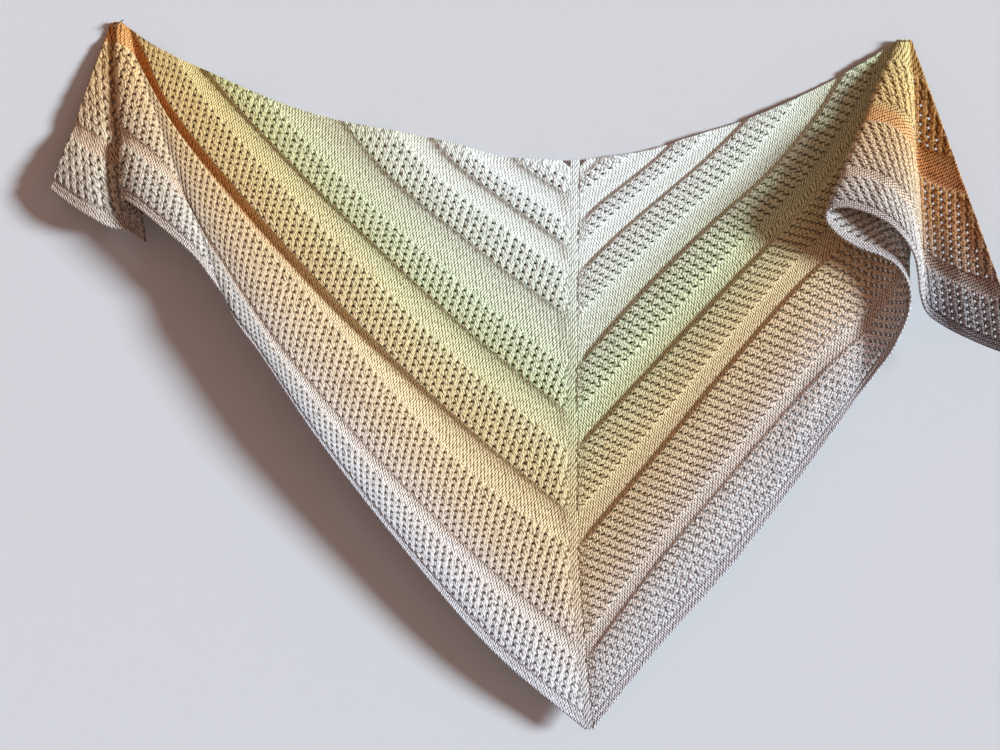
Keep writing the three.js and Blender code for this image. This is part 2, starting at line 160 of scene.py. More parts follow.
RIGHT = {
    "sign": 1,
    "pin": (1095, -24),
    "pin_row": 0.475,
    "cloth_top": 2.5,
    "spread": 0.75,
    "top_edge": np.array([
        (0, 638, -190, 6),
        (0.07, 724, -179, 6),
        (0.156, 829, -148, 6),
        (0.202, 881, -132, 6),
        (0.277, 953, -100, 6),
        (0.365, 1016, -68, 6),
        (0.42, 1055, -44, 5),
        (0.475, 1092, -21.5, 3.8),
    ]),
    "rows": np.array([
        (0, 0, 0, 0, 0, 6, 6, 6, 6),
        (0.202, -3, 0, 4, 2, 11, 10, 8, 7),
        (0.277, 0, 7, 14, 7, 14, 13, 10, 7),
        (0.365, -3, 8, 26, 15, 17, 18, 13, 8),
        (0.475, 22, 37, 52, 30, 23, 25, 20, 12),
        (0.509, 8, 18, 30, 14, 25, 28, 24, 15),
        (0.681, -8, -20, -24, -10, 33, 36, 36, 31),
        (0.86, -19, -21, -20, -9, 40, 43, 44, 44),
        (1, 0, 13, 11, 4, 43, 46, 48, 52),
    ]),
    "folds": np.array([
        (1029, -519, 52, -3, 3.8),
        (1051, -489, 58, -1, 3.8),
        (1069, -464, 66, 1, 3.8),
        (1084, -435, 74, 3, 4),
        (1095, -405, 79, 4.6, 4.6),
        (1096, -384, 82, 5.2, 5.6),
        (1090, -361, 84, 4.4, 6.8),
        (1076, -340, 85, 2.6, 7.3),
        (1054, -327, 86, 0, 7.4),
        (1025, -316, 86, -2.6, 7.5),
        (996, -298, 87, -5.5, 8),
        (979, -276, 90, -7.2, 9.2),
        (985, -264, 94, -6, 10.5),
        (1005, -261, 98, -4, 11),
        (1035, -269, 103, -1.5, 11.2),
        (1065, -285, 108, 1, 11.2),
        (1087, -308, 107, 4, 11.2),
        (1101, -330, 98, 6.6, 11),
        (1107, -353, 88, 8.4, 10.6),
        (1113, -383, 73, 9.2, 10.2),
        (1123, -406, 64, 10, 9.8),
        (1143, -422, 67, 10.8, 9.6),
        (1171, -438, 79, 11.5, 9.6),
        (1213, -457, 97, 12.2, 9.6),
        (1251, -469, 116, 13, 9.6),
    ]),
    "parts": [("wing_right", 0), ("fold_right_turn", 5), ("fold_right_return", 11),
              ("fold_right_front", 20), ("tail_right", 24)],
    "wing_cuts": [0.509, 0.7],
    "band_sink": 2.4,
    "sink_skew": 6,
    "flare": 0,
    "pin_shade_reach": 420,
    "painted_light_shift": 0.05,
}

# Small creases pressed into the cloth, by side: the places s and rows v of their two ends,
# their half width and their height, both in mm. Hidden layers have some like those that show.
CREASES = {
    -1: [
        (1.2, 0.20, 4.4, 0.30, 13, 1.6),
        (2.2, 0.36, 4.7, 0.47, 11, -1.5),
        (0.8, 0.70, 3.4, 0.78, 16, 1.8),
        (3.0, 0.90, 4.6, 0.74, 12, -1.6),
        (4.2, 0.97, 4.9, 0.80, 9, 1.5),
        (6.4, 0.98, 6.1, 0.82, 7, 1.3),
        (9.1, 0.96, 9.5, 0.84, 6, -1.1),
        (12.6, 0.99, 12.2, 0.83, 8, 1.4),
        (16.3, 0.97, 15.8, 0.80, 9, -1.4),
        (18.2, 0.95, 18.4, 0.82, 7, 1.2),
    ],
    1: [
        (1.4, 0.16, 4.5, 0.24, 15, 1.8),
        (2.6, 0.33, 4.8, 0.40, 12, -1.8),
        (3.3, 0.52, 4.8, 0.50, 14, 1.7),
        (0.7, 0.82, 2.9, 0.72, 17, -1.7),
        (2.4, 0.98, 3.9, 0.86, 13, 1.9),
        (7.3, 0.97, 7.8, 0.78, 8, 1.3),
        (13.4, 0.96, 13.1, 0.79, 9, -1.4),
        (19.2, 0.98, 19.7, 0.83, 8, 1.5),
        (22.4, 0.97, 22.1, 0.80, 9, -1.3),
        (27.1, 0.98, 27.4, 0.74, 11, 1.6),
        (28.3, 0.90, 28.2, 0.68, 9, -1.3),
    ],
}
CREASE_STEPS = 24      # points along each crease
TROUGH_SINK = 3        # the left wing's long trough is this much deeper than its solid's
SPINE_CALM = 22        # bands and creases grow to full height within this distance of the spine
FLARE_FROM = 0.83      # the left hem flares from this row on
WALL_ROOM = 3          # the middle of the cloth stays this far from the wall
LOOSE_FROM = 4.2       # on the right, past this place along the rows, the mesh is stretched
LOOSE_FULL = 1.2       # places further along where it is fully stretched
LOOSE_ROWS = (0.6, 0.7)   # from the first of these rows on, and fully from the second
LOOSE = 1.9            # and its eyelets are this much longer
TAIL_SHADE_FROM = 24    # past this place along the rows the right tail gets painted shade, as it faces away from the light
TAIL_SHADE_FULL = 1.5   # places further along where that painted shade is full
PIN_SHADE_FULL = 2          # places past the right pin's fold where the painted shade near the pin is full
FLARE_CALM = 90        # the hem flares fully this far from the spine
TROUGH_FULL = 3        # place along the rows where the left trough has its full depth

MAPS = ("knit", "place", "out")   # what each point tells the yarn's material; out holds the painted shade of the right tail and near the pins

STATIONS = [0.25, 0.5, 0.75, 0.92]   # shares of the way out that the rows tables describe
PLACES_MEASURED = 24                 # points on a row for each of its places, to find its length
EDGE = len(STATIONS) + 1             # place along a row of the top edge, or of the first fold


def read(table, column, v):
    """A smooth value from one column of a table, read at v, level where its neighbours turn."""
    i = int(np.clip(np.searchsorted(table[:, 0], v) - 1, 0, len(table) - 2))

    def slope(a, b):
        return (table[b, column] - table[a, column]) / (table[b, 0] - table[a, 0])

    def gentle(a, b):
        return 0 if a * b <= 0 else 2 * a * b / (a + b)

    here = slope(i, i + 1)
    before = slope(i - 1, i) if i > 0 else here
    after = slope(i + 1, i + 2) if i < len(table) - 2 else here
    h = table[i + 1, 0] - table[i, 0]
    t = min(max((v - table[i, 0]) / h, 0), 1)
    m0, m1 = gentle(before, here) * h, gentle(here, after) * h
    return hermite(table[i, column], m0, table[i + 1, column], m1, t)


def hermite(a, m0, b, m1, t):
    t2 = t * t
    t3 = t2 * t
    return a * (2 * t3 - 3 * t2 + 1) + m0 * (t3 - 2 * t2 + t) + b * (3 * t2 - 2 * t3) + m1 * (t3 - t2)


def smoothstep(x):
    t = np.clip(x, 0, 1)
    return t * t * (3 - 2 * t)


def lerp(a, b, t):
    return a + (b - a) * t


def unit(vectors):
    return vectors / np.maximum(np.linalg.norm(vectors, axis=-1, keepdims=True), 1e-12)


def spine_point(v, beside=0):
    return np.array([read(SPINE, 1, v) + beside, -read(SPINE, 3, v), read(SPINE, 2, v)])


def guide_points(side, v):
    """The places that a row passes: the spine, the stations, then the top edge or the fold
    lines, with one more place before the first and after the last."""
    start = spine_point(v, side["sign"] * SPINE_WIDTH / 2)
    past = v > side["pin_row"]
    if past:
        reach = ((v - side["pin_row"]) / (1 - side["pin_row"])) ** side["spread"]
        folds = side["folds"]
        hem = np.stack([folds[:, 0], -folds[:, 2], folds[:, 1]], 1)
        x, z = side["pin"]
        height = np.full(len(folds), z + side["cloth_top"])
        on_pin = np.stack([x + folds[:, 3], -folds[:, 4], height], 1)
        ends = lerp(on_pin, hem, reach)
    else:
        top = side["top_edge"]
        ends = np.array([[read(top, 1, v), -read(top, 3, v), read(top, 2, v)]])
    guides = [start]
    for k, out in enumerate(STATIONS):
        p = lerp(start, ends[0], out)
        p[2] -= read(side["rows"], 1 + k, v)
        p[1] = -read(side["rows"], 5 + k, v)
        guides.append(p)
    guides.extend(ends)
    before = lerp(guides[0], guides[1], -0.5)
    after = lerp(guides[-1], guides[-2], -0.5) if past else lerp(ends[0], start, -0.1)
    return np.array([before, *guides, after])


def row_end(side, v):
    return EDGE + (len(side["folds"]) - 1 if v > side["pin_row"] else 0)


def row_points(side, s, v):
    """Points at the places s along row v, on a smooth curve through its guide points."""
    guides = guide_points(side, v)
    i = np.minimum(s.astype(int), row_end(side, v) - 1)
    t = (s - i)[:, None]
    p0, p1, p2, p3 = (guides[i + k] for k in range(4))
    h0, h1, h2 = (
        np.sqrt(np.linalg.norm(b - a, axis=1, keepdims=True)) + 1e-6
        for a, b in ((p0, p1), (p1, p2), (p2, p3))
    )
    step = p2 - p1
    m1 = h1 * ((p1 - p0) / h0 - (p2 - p0) / (h0 + h1)) + step
    m2 = step + h1 * ((p3 - p2) / h2 - (p3 - p1) / (h1 + h2))
    return hermite(p1, m1, p2, m2, t)


def band_rise(side, s, v):
    """How far the bands stand out at v, and how much deeper the left wing's long trough is."""
    _, start, end, _, rise, left_dip = next((b for b in BANDS if v <= b[2]), BANDS[-1])
    dip = left_dip * smoothstep(s / TROUGH_FULL) if side["sign"] < 0 else 0
    return np.sin(np.pi * (v - start) / (end - start)) * (rise + dip)


def pin_distance(side, p):
    return np.hypot(p[:, 0] - side["pin"][0], p[:, 2] - side["pin"][1])


def cloth_points(side, s, v):
    p = row_points(side, s, v)
    p[:, 1] -= band_rise(side, s, v) * smoothstep(pin_distance(side, p) / CALM)
    return p


def cloth_frame(side, s, v):
    """Directions out of the cloth's right side and down toward the hem."""
    ds, dv = 0.02, 0.002
    pin_row = side["pin_row"]
    s0 = np.maximum(s - ds, 0)
    s1 = np.minimum(s + ds, row_end(side, v))
    if v > pin_row:
        v0, v1 = max(v - dv, pin_row + 1e-4), min(v + dv, 1)
    else:
        v0, v1 = v - dv, min(v + dv, pin_row)
    along = cloth_points(side, s1, v) - cloth_points(side, s0, v)
    down = unit(cloth_points(side, s, v1) - cloth_points(side, s, v0))
    normal = unit(np.cross(along, down)) * -side["sign"]
    return normal, down


def band_lift(side, kind, share, deep):
    """How far a line of points stands off its solid's form: mesh is proud with rounded edges,
    and smooth bands are hollow."""
    if kind == "mesh":
        return MESH_LIFT * float(smoothstep(min(share, 1 - share) * deep / BAND_STEP))
    hollow = math.sin(math.pi * share ** side["sink_skew"])
    return -side["band_sink"] * hollow * (1 if kind == "plain" else 0.3)


def crease_lines(side):
    """The small creases as (points along it, half width, height)."""
    lines = []
    for s0, v0, s1, v1, width, height in CREASES[side["sign"]]:
        points = [
            cloth_points(side, np.array([lerp(s0, s1, t)]), lerp(v0, v1, t))[0]
            for t in np.linspace(0, 1, CREASE_STEPS)
        ]
        lines.append((np.array(points), min(s0, s1) - 1, max(s0, s1) + 1, width, height))
    return lines


def crease_lift(lines, s, p):
    """How far the creases lift the points p at the places s: full along each line's middle
    and fading out to its sides and its ends."""
    lift = np.zeros(len(p))
    for line, s_low, s_high, width, height in lines:
        apart = np.linalg.norm(p[:, None] - line[None], axis=2)
        nearest = apart.argmin(1) / (CREASE_STEPS - 1)
        fade = np.sin(np.pi * (0.1 + 0.8 * nearest)) * ((s > s_low) & (s < s_high))
        lift += height * fade * np.exp(-(apart.min(1) / width) ** 2)
    return lift


def knit_rows(side):
    """One entry for each line of points that follows a row: its v, kind of knitting, place in
    its group of rows, the group's number, the eyelet rows knitted so far, the depth so far in
    cells, and how far the band's own form lifts it."""
    rows = []
    group = eyelets = cells = 0
    for name, start, end, kind, _, _ in BANDS:
        deep = (end - start) * CUT_DEPTH
        lines = CELL_ROWS if kind == "mesh" else PLAIN_ROWS if kind == "plain" else 2 * PLAIN_ROWS
        groups = max(1, round(deep / (PITCH_DOWN if kind == "mesh" else PLAIN_GROUP)))
        band_cells = max(1, round(deep / PITCH_DOWN))
        for g in range(groups):
            for k in range(lines):
                share = (g + k / lines) / groups
                rows.append({
                    "v": lerp(start, end, share),
                    "name": name,
                    "share": share,
                    "kind": kind,
                    "k": k,
                    "group": group + g,
                    "leans": eyelets + (g + k / lines if kind == "mesh" else 0),
                    "cells": cells + share * band_cells,
                    "lift": band_lift(side, kind, share, deep),
                })
        group += groups
        cells += band_cells
        eyelets += groups if kind == "mesh" else 0
    rows.append({**rows[-1], "v": 1.0, "share": 1, "k": 0, "group": group, "cells": cells, "lift": 0})
    rows = [r for r in rows if r["v"] > FIRST_ROW + 0.002]
    rows[0]["v"] = FIRST_ROW
    nearest = min(rows, key=lambda r: abs(r["v"] - side["pin_row"]))
    nearest["v"] = side["pin_row"] + 1e-4
    return rows


# Height over the bottom of the gaps, in mm, of the points of a mesh cell, row by row down it:
# puffed stitches at its sides, two strands over its middle and the eyelet between them
RELIEF = np.array([
    (1.3, 0.8, 0.9, 1.2, 1.0, 0.7),
    (0.9, 1.5, 0.7, 0.5, 1.2, 1.5),
    (1.5, 1.4, 0.3, 0.0, 0.5, 1.0),
    (1.0, 0.6, 0.4, 0.0, 0.3, 1.4),
    (1.5, 1.2, 0.9, 0.3, 0.5, 0.9),
])
RELIEF_NOISE = 0.22    # standard deviation of the heights, in mm
# Where the eyelet's six corners go, in mm from the grid: (column, row): (along, down)
EYELET = {
    (2, 2): (0.25, 0.45), (3, 2): (0, -0.75), (4, 2): (-0.25, 0.45),
    (2, 3): (0.25, -0.45), (3, 3): (0, 0.75), (4, 3): (-0.25, -0.45),
}
EYELET_COLUMNS = (2, 3)   # the two squares of a cell that the eyelet opens
EYELET_ROW = 2
HOLE_SIZES = (0.75, 1.2)  # how much the eyelets vary
CALM_ENOUGH = 0.75        # and none where the cloth is squeezed to less than this at a pin
TOP_BORDER = 8            # no eyelets this near to the top edge
SPINE_BORDER = 4          # nor this near to the spine
END_GAP = 0.4             # least space, in columns, between a row's ends and its next points
BACK_SHARE = 0.6          # height of the relief on the wrong side, as a share of the right side
EDGE_ROUND = 5            # the relief grows even within this distance of the top edge
SEED = 11


def build_half(side):
    """All points of one wing and its tail, as a grid of columns i over rows j."""
    rows = knit_rows(side)
    creases = crease_lines(side)
    rng = np.random.default_rng(SEED + side["sign"])
    lean = LEAN * side["sign"]
    measured = []
    for row in rows:
        end = row_end(side, row["v"])
        s = np.linspace(0, end, end * PLACES_MEASURED + 1)
        p = cloth_points(side, s, row["v"])
        length = np.concatenate([[0], np.cumsum(np.linalg.norm(np.diff(p, axis=0), axis=1))])
        start = FOOT * HEM_ROW * row["v"] + lean * row["leans"]
        measured.append((s, length, start))
    low = min(int(np.floor(-start / COLUMN)) for _, _, start in measured) - 2
    high = max(int(np.ceil((length[-1] - start) / COLUMN)) for _, length, start in measured) + 2
    low -= low % CELL_COLUMNS
    columns = np.arange(low, high + 1)
    local = columns % CELL_COLUMNS
    shape = (len(rows), len(columns))
    grid = {
        "rows": rows,
        "outer": np.zeros(shape + (3,)), "inner": np.zeros(shape + (3,)),
        "s": np.zeros(shape), "flat": np.zeros(shape),
        "knit": np.zeros(shape + (2,)), "place": np.zeros(shape + (2,)),
        "out": np.zeros(shape + (2,)), "inside": np.zeros(shape, bool),
        "first": [], "last": [], "fold_start": [],
    }
    cells_shape = (rows[-1]["group"] + 1, len(columns) // CELL_COLUMNS + 1)
    hole_size = rng.uniform(*HOLE_SIZES, cells_shape)
    for j, (row, (s_fine, length, start)) in enumerate(zip(rows, measured)):
        total = length[-1]
        q = columns * COLUMN + start
        first = int(np.argmax(q > END_GAP * COLUMN))
        last = int(len(q) - 1 - np.argmax(q[::-1] < total - END_GAP * COLUMN))
        used = slice(first - 1, last + 2)
        q = np.clip(q[used], 0, total)
        q[0], q[-1] = 0, total
        c = local[used]
        cell = np.arange(len(columns))[used] // CELL_COLUMNS
        size = hole_size[row["group"], cell]
        if side["sign"] > 0 and row["v"] > side["pin_row"]:
            place = np.interp(q, length, s_fine)
            loose = smoothstep((place - LOOSE_FROM) / LOOSE_FULL)
            loose *= smoothstep((row["v"] - LOOSE_ROWS[0]) / (LOOSE_ROWS[1] - LOOSE_ROWS[0]))
            size = size * (1 + (LOOSE - 1) * loose)
        inside = (q > SPINE_BORDER) & (q < total - TOP_BORDER)
        shift_along = np.zeros(len(q))
        shift_down = np.zeros(len(q))
        if row["kind"] == "mesh":
            for (column, line), (along, down) in EYELET.items():
                here = (c == column) & inside & (row["k"] == line)
                shift_along[here] = along
                shift_down[here] = down * size[here]
        s = np.interp(np.clip(q + shift_along, 0, total), length, s_fine)
        p = cloth_points(side, s, row["v"])
        normal, down = cloth_frame(side, s, row["v"])
        calm = smoothstep(pin_distance(side, p) / SQUEEZE)
        front, back = stitch_height(row, c, q, total, rng)
        p += down * (shift_down * calm)[:, None]
        lift = (row["lift"] + crease_lift(creases, s, p)) * smoothstep(q / SPINE_CALM)
        if side["sign"] < 0 and row["name"] == "plain_5":
            hollow = math.sin(math.pi * row["share"] ** side["sink_skew"])
            lift -= TROUGH_SINK * hollow * smoothstep(s / TROUGH_FULL)
        flare = smoothstep((row["v"] - FLARE_FROM) / (1 - FLARE_FROM))
        lift += side["flare"] * flare * smoothstep(q / FLARE_CALM)
        lift = np.maximum(lift * smoothstep(pin_distance(side, p) / CALM), WALL_ROOM + p[:, 1])
        p += normal * lift[:, None]
        grid["outer"][j, used] = p + normal * (HALF_THICK + front * calm)[:, None]
        grid["inner"][j, used] = p - normal * (HALF_THICK + back * calm)[:, None]
        grid["s"][j, used] = s
        knitted = HEM_ROW * row["v"]
        grid["flat"][j, used] = q * knitted / total - FOOT * knitted
        in_cells = np.full(len(q), row["cells"])
        grid["knit"][j, used] = np.stack([columns[used] / CELL_COLUMNS, in_cells], 1)
        # On the right wing the colour is taken from a little further up the rows: painted light on its
        # shaded bands.
        grid["place"][j, used] = (row["v"] - side["painted_light_shift"] * (1 - row["v"]), KINDS[row["kind"]])
        # Painted shade near the pin: a warm tint, on the right only past the pin's fold
        near_pin_shade = 1 - smoothstep(pin_distance(side, p) / side["pin_shade_reach"])
        # Painted shade on the right tail, which faces away from the light
        tail_shade = np.zeros(len(s))
        if side["sign"] > 0:
            near_pin_shade = near_pin_shade * smoothstep((s - EDGE) / PIN_SHADE_FULL)
            tail_shade = smoothstep((s - TAIL_SHADE_FROM) / TAIL_SHADE_FULL)
        grid["out"][j, used] = np.stack([tail_shade, near_pin_shade], 1)
        grid["inside"][j, used] = inside & (calm > CALM_ENOUGH)
        grid["first"].append(first)
        grid["last"].append(last)
        at_pin = np.interp(EDGE, s_fine, length)
        grid["fold_start"].append(int(np.searchsorted(columns * COLUMN + start, at_pin)) - 1)
    return grid


def stitch_height(row, c, q, total, rng):
    """Heights of the right and the wrong side over the bottom of the grooves."""
    if row["kind"] == "mesh":
        front = RELIEF[row["k"], c]
        back = BACK_SHARE * front
    elif row["kind"] == "plain":
        front = np.full(len(c), 0.4)
        back = np.full(len(c), 0.35)
    elif row["kind"] == "garter":
        ridge = (0.1, 0.9, 0.4, 1.0)[row["k"]]
        front = ridge + 0.15 * np.where(c % 2 == 1, 1, -1)
        back = np.full(len(c), 0.4)
    else:
        ridge = {0: 0.3, 1: 0.5, 2: 1.2, 3: 1.3}[row["k"]] if row["v"] < 1 else 0.5
        front = ridge + 0.25 * np.where(c % 2 == 1, 1, -1)
        back = np.full(len(c), BACK_SHARE * ridge)
    near = smoothstep(1 - (total - q) / EDGE_ROUND)
    front = front + near * (0.5 + 0.3 * np.cos(np.pi * row["group"]) - 0.3 * front)
    front = front + rng.normal(0, RELIEF_NOISE if row["kind"] == "mesh" else 0.08, len(c))
    return front, back


def faces_of(grid, side):
    """Outer faces as corner numbers in the grid, the group that each lies in, and which of
    them are whole, not eyelets."""
    columns = grid["outer"].shape[1]
    faces, cells, whole = [], [], []
    eyelets = grid_eyelets(grid)
    for j in range(len(grid["rows"]) - 1):
        row, below = grid["rows"][j], grid["rows"][j + 1]
        first = min(grid["first"][j], grid["first"][j + 1]) - 1
        end_below = grid["last"][j + 1]
        if row["v"] <= side["pin_row"] < below["v"]:
            end_below = grid["fold_start"][j + 1]
        last = max(grid["last"][j], end_below)
        i = np.arange(first, last + 1)
        top = [np.clip(k, grid["first"][j] - 1, grid["last"][j] + 1) for k in (i, i + 1)]
        low = [np.clip(k, grid["first"][j + 1] - 1, end_below + 1) for k in (i, i + 1)]
        quad = np.stack([
            j * columns + top[0], (j + 1) * columns + low[0],
            (j + 1) * columns + low[1], j * columns + top[1],
        ], 1)
        keep = ~((top[0] == top[1]) & (low[0] == low[1]))
        faces.append(quad[keep])
        whole.append(~eyelets[j, i[keep]])
        group_middle = i - i % CELL_COLUMNS + CELL_COLUMNS // 2
        cells.append(np.stack([np.full(keep.sum(), j), group_middle[keep]], 1))
    faces, cells, whole = np.concatenate(faces), np.concatenate(cells), np.concatenate(whole)
    if side["sign"] < 0:
        faces = faces[:, ::-1]
    return faces, cells, whole


def grid_eyelets(grid):
    """Which squares are eyelets: the middle ones of cells that lie wholly inside."""
    shape = grid["inside"].shape
    out = np.zeros(shape, bool)
    for j, row in enumerate(grid["rows"]):
        if row["kind"] != "mesh" or row["k"] != EYELET_ROW or j + 3 >= shape[0]:
            continue
        block = grid["inside"][j - 2:j + 4]
        whole = np.all(block, axis=0)
        for i in range(0, shape[1] - CELL_COLUMNS, CELL_COLUMNS):
            if whole[i:i + CELL_COLUMNS + 1].all():
                out[j, [i + k for k in EYELET_COLUMNS]] = True
    return out


def label_faces(grid, side, cells):
    """The number of the piece that each face belongs to, and the pieces' names."""
    wing, _ = side["parts"][0]
    spans = ["upper", "middle", "lower"] if len(side["wing_cuts"]) == 2 else ["upper", "lower"]
    names = [f"{wing}_{span}" for span in spans] + [name for name, _ in side["parts"][1:]]
    middle_rows = middle_row_of_groups(grid["rows"])
    j = middle_rows[cells[:, 0]]
    i = np.clip(cells[:, 1], np.array(grid["first"])[j], np.array(grid["last"])[j])
    s = grid["s"][j, i]
    v = np.array([r["v"] for r in grid["rows"]])[j]
    label = np.searchsorted(side["wing_cuts"], v, side="right")
    for k, (_, fold) in enumerate(side["parts"][:-1]):
        label = np.where(s > EDGE + fold, len(spans) + k, label)
    return label, names


def middle_row_of_groups(rows):
    """For each line of points, the number of the line in the middle of its group."""
    groups = {}
    for j, row in enumerate(rows):
        groups.setdefault(row["group"], []).append(j)
    return np.array([groups[r["group"]][len(groups[r["group"]]) // 2] for r in rows])


def open_edges(faces):
    """Directed edges of quads that no other face shares, as (from, to)."""
    a = faces.ravel()
    b = np.roll(faces, -1, axis=1).ravel()
    real = a != b
    a, b = a[real], b[real]
    size = faces.max() + 1
    forward, backward = a * size + b, b * size + a
    alone = ~np.isin(forward, backward)
    return a[alone], b[alone]


def shell_faces(faces, offset):
    """Outer, inner and rim faces of a shell whose inner points are numbered from offset."""
    a, b = open_edges(faces)
    rim = np.stack([b, a, a + offset, b + offset], 1)
    return faces, faces[:, ::-1] + offset, rim


def point_normals(points, parts):
    normals = np.zeros_like(points)
    for faces in parts:
        a, b, c, d = (points[faces[:, k]] for k in range(4))
        n = np.cross(c - a, d - b)
        for k in range(4):
            np.add.at(normals, faces[:, k], n)
    return unit(normals)


def make_mesh(name, points, faces, normals, maps):
    """A mesh object from quads, of which some may have two corners in one place."""
    used, numbers = np.unique(faces, return_inverse=True)
    faces = numbers.reshape(-1, 4)
    corners = []
    for quad in faces.tolist():
        corner = [n for k, n in enumerate(quad) if n != quad[k - 1]]
        corners.append(corner)
    mesh = bpy.data.meshes.new(name)
    mesh.from_pydata((points[used] * MM).tolist(), [], corners)
    mesh.shade_smooth()
    loops = np.empty(len(mesh.loops), np.int32)
    mesh.loops.foreach_get("vertex_index", loops)
    for map_name, values in maps.items():
        layer = mesh.uv_layers.new(name=map_name, do_init=False)
        layer.uv.foreach_set("vector", values[used][loops].astype(np.float32).ravel())
    mesh.normals_split_custom_set_from_vertices(normals[used].tolist())
    piece = bpy.data.objects.new(name, mesh)
    bpy.context.collection.objects.link(piece)
    return piece


def half_pieces(side):
    grid = build_half(side)
    faces, cells, whole = faces_of(grid, side)
    label, names = label_faces(grid, side, cells)
    count = grid["s"].size
    points = np.concatenate([grid["outer"].reshape(-1, 3), grid["inner"].reshape(-1, 3)])
    maps = {name: np.tile(grid[name].reshape(-1, 2), (2, 1)) for name in MAPS}
    normals = point_normals(points, shell_faces(faces[whole], count))
    pieces = {}
    for k, name in enumerate(names):
        parts = shell_faces(faces[whole & (label == k)], count)
        piece = make_mesh(name + "_knit", points, np.concatenate(parts), normals, maps)
        pieces[name] = piece
    return pieces


# The centre panel, in mm: the heights of its ridges from side to side, its step down, how far
# it laps over each wing's end, its faces off the middle of the cloth, and half its width in cells
SPINE_RIDGE = (0.3, 0.9, 0.6, 1.1, 0.7, 1.1, 0.6, 0.9, 0.3)
SPINE_STEP = 3.2
SPINE_LAP = 0.8
SPINE_FRONT = 0.6
SPINE_BACK = 0.9
SPINE_CELLS = 2 / 3


def spine_piece():
    """The centre panel: four wales of smooth knitting that stand as low ridges."""
    across = np.linspace(-1, 1, len(SPINE_RIDGE))
    rows = np.arange(0, SPINE_LENGTH + 1, SPINE_STEP) / SPINE_LENGTH
    outer, inner, knit, place = [], [], [], []
    for v in rows:
        rise = band_rise(RIGHT, 0, v)
        for share, height in zip(across, SPINE_RIDGE):
            p = spine_point(v, share * (SPINE_WIDTH / 2 + SPINE_LAP))
            outer.append(p + (0, -rise - SPINE_FRONT - height, 0))
            inner.append(p + (0, -rise + SPINE_BACK, 0))
            knit.append((share * SPINE_CELLS, v * CUT_DEPTH / PITCH_DOWN))
            place.append((v, KINDS["plain"]))
    columns = len(across)
    j, i = np.meshgrid(np.arange(len(rows) - 1), np.arange(columns - 1), indexing="ij")
    a = (j * columns + i).ravel()
    faces = np.stack([a, a + columns, a + columns + 1, a + 1], 1)
    points = np.array(outer + inner)
    parts = shell_faces(faces, len(outer))
    normals = point_normals(points, parts)
    none = np.zeros((len(points), 2))
    maps = {"knit": np.array(knit * 2), "place": np.array(place * 2), "out": none}
    piece = make_mesh("spine_panel_knit", points, np.concatenate(parts), normals, maps)
    return piece


# Colours of the yarn from the top edge to the hem, as the eye sees them in white light:
# v, red, green, blue
YARN = [
    (0.0, 0.93, 0.94, 0.92),
    (0.12, 0.93, 0.94, 0.91),
    (0.24, 0.91, 0.925, 0.86),
    (0.32, 0.89, 0.90, 0.79),
    (0.38, 0.87, 0.89, 0.75),
    (0.44, 0.89, 0.90, 0.72),
    (0.50, 0.91, 0.87, 0.68),
    (0.58, 0.92, 0.83, 0.63),
    (0.66, 0.93, 0.83, 0.65),
    (0.76, 0.93, 0.83, 0.70),
    (0.86, 0.91, 0.85, 0.80),
    (0.93, 0.90, 0.88, 0.87),
    (1.0, 0.81, 0.79, 0.80),
]


# Tints that multiply the yarn's colour
PIN_SHADE_WARM = (1.0, 0.94, 0.81)          # painted shade, warm, near the pins
TROUGH_SHADE = (1.0, 0.80, 0.58)          # painted shade, orange-brown, in the long smooth band near the pins
TAIL_SHADE_BROWN = (0.88, 0.76, 0.66)   # painted shade on the right tail, which faces away from the light, above
TAIL_SHADE_GREY = (0.75, 0.76, 0.79)    # and below


def linear(colour):
    return [c / 12.92 if c <= 0.04045 else ((c + 0.055) / 1.055) ** 2.4 for c in colour]


def opaque(colour):
    return (*linear(colour), 1)


class Graph:
    """Short ways to add and link a material's nodes."""

    def __init__(self, name):
        self.material = bpy.data.materials.new(name)
        self.material.use_nodes = True
        self.tree = self.material.node_tree
        self.tree.nodes.clear()

    def add(self, kind, inputs=(), **settings):
        node = self.tree.nodes.new(kind)
        for key, value in settings.items():
            setattr(node, key, value)
        for key, value in dict(inputs).items():
            self.put(value, node.inputs[key])
        return node

    def put(self, value, socket):
        if isinstance(value, bpy.types.NodeSocket):
            self.tree.links.new(value, socket)
        else:
            socket.default_value = value

    def maths(self, operation, a, b=0.0, c=0.0):
        return self.add("ShaderNodeMath", {0: a, 1: b, 2: c}, operation=operation).outputs[0]

    def map_parts(self, name):
        """The two numbers of a named map."""
        parts = self.add("ShaderNodeSeparateXYZ", {0: self.add("ShaderNodeUVMap", uv_map=name).outputs[0]})
        return parts.outputs[0], parts.outputs[1]

    def pair(self, x, y):
        return self.add("ShaderNodeCombineXYZ", {0: x, 1: y}).outputs[0]

    def mix(self, factor, a, b, blend="MIX"):
        node = self.add("ShaderNodeMix", {0: factor, 6: a, 7: b}, data_type="RGBA", blend_type=blend)
        return node.outputs[2]

    def noise(self, vector, scale, detail=2.0):
        node = self.add("ShaderNodeTexNoise", {"Vector": vector, "Scale": scale, "Detail": detail})
        return node.outputs["Fac"]

    def span(self, value, low, high, to_low, to_high):
        """value mapped from low..high to to_low..to_high, and held beyond them."""
        node = self.add("ShaderNodeMapRange", {0: value, 1: low, 2: high, 3: to_low, 4: to_high})
        return node.outputs[0]

    def lerp(self, factor, a, b):
        return self.add("ShaderNodeMix", {0: factor, 2: a, 3: b}, data_type="FLOAT").outputs[0]

    def fold(self, value):
        """0 halfway between whole numbers and 1 at them."""
        return self.maths("ABSOLUTE", self.maths("MULTIPLY_ADD", self.maths("FRACT", value), 2.0, -1.0))

    def finish(self, shader):
        self.add("ShaderNodeOutputMaterial", {"Surface": shader.outputs[0]})
        return self.material


